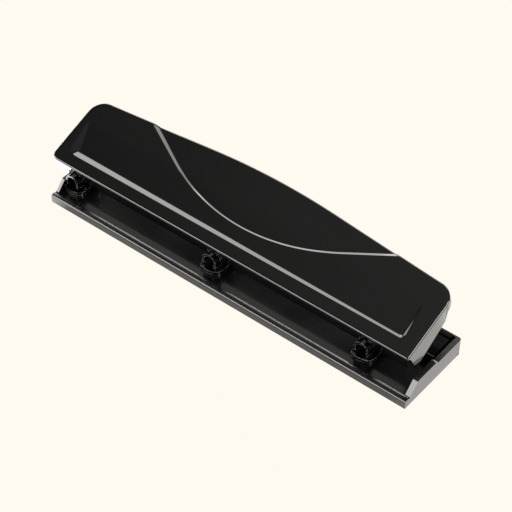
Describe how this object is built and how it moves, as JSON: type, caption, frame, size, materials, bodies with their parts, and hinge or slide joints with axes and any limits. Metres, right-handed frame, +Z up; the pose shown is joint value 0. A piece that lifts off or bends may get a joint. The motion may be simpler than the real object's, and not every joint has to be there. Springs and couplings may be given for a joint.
{
  "type": "hole punch",
  "caption": "Sheet-steel desk hole punch with a hinged full-length lever, sprung punch pins and a hinged chip pan.",
  "frame": {"origin": "on the resting face, under the middle of the base", "axes": "+X along the punch, +Y from the paper side to the back, +Z up"},
  "size_m": [0.2724, 0.0663, 0.0413],
  "materials": {
    "black_paint": "gloss",
    "black_plastic": "satin",
    "steel": "satin",
    "dark_steel": "satin"
  },
  "bodies": {
    "base": {"base_tray": "black_paint", "rear_deck": "black_paint", "die_plate_left": "black_paint", "die_plate_middle": "black_paint", "die_plate_right": "black_paint", "head_bracket_left": "black_paint", "head_bracket_middle": "black_paint", "head_bracket_right": "black_paint", "paper_stop_left": "dark_steel", "paper_stop_middle": "dark_steel", "paper_stop_right": "dark_steel", "head_rivets": "steel"},
    "pan": {"chip_pan": "black_plastic", "pan_pegs": "dark_steel"},
    "lever": {"lever_cover": "black_paint", "lever_frame": "black_paint", "hinge_rod": "steel", "rod_clips": "dark_steel"},
    "pin_left": {"punch_pin_left": "steel", "pin_cap_left": "dark_steel", "return_spring_left": "steel"},
    "pin_middle": {"punch_pin_middle": "steel", "pin_cap_middle": "dark_steel", "return_spring_middle": "steel"},
    "pin_right": {"punch_pin_right": "steel", "pin_cap_right": "dark_steel", "return_spring_right": "steel"}
  },
  "joints": [
    {"name": "lever_hinge", "type": "hinge", "parent": "base", "child": "lever", "pos_m": [0, -0.00841, 0.01812], "axis": [1, 0, 0], "range_deg": [-24.5, 0]},
    {"name": "pin_slide_left", "type": "slide", "parent": "base", "child": "pin_left", "axis": [0, 0, 1], "range_m": [-0.0045, 0], "stiffness_N_per_m": 350, "springref_m": 0.0045, "deforming": ["return_spring_left"]},
    {"name": "pin_slide_middle", "type": "slide", "parent": "base", "child": "pin_middle", "axis": [0, 0, 1], "range_m": [-0.0045, 0], "stiffness_N_per_m": 350, "springref_m": 0.0045, "deforming": ["return_spring_middle"]},
    {"name": "pin_slide_right", "type": "slide", "parent": "base", "child": "pin_right", "axis": [0, 0, 1], "range_m": [-0.0045, 0], "stiffness_N_per_m": 350, "springref_m": 0.0045, "deforming": ["return_spring_right"]},
    {"name": "pan_hinge", "type": "hinge", "parent": "base", "child": "pan", "pos_m": [0, 0.02365, 0.0013], "axis": [1, 0, 0], "range_deg": [0, 60]}
  ],
  "couplings": [
    {"joint": "pin_slide_left", "follows": "lever_hinge", "m_per_rad": 0.010457},
    {"joint": "pin_slide_middle", "follows": "lever_hinge", "m_per_rad": 0.010457},
    {"joint": "pin_slide_right", "follows": "lever_hinge", "m_per_rad": 0.010457}
  ]
}
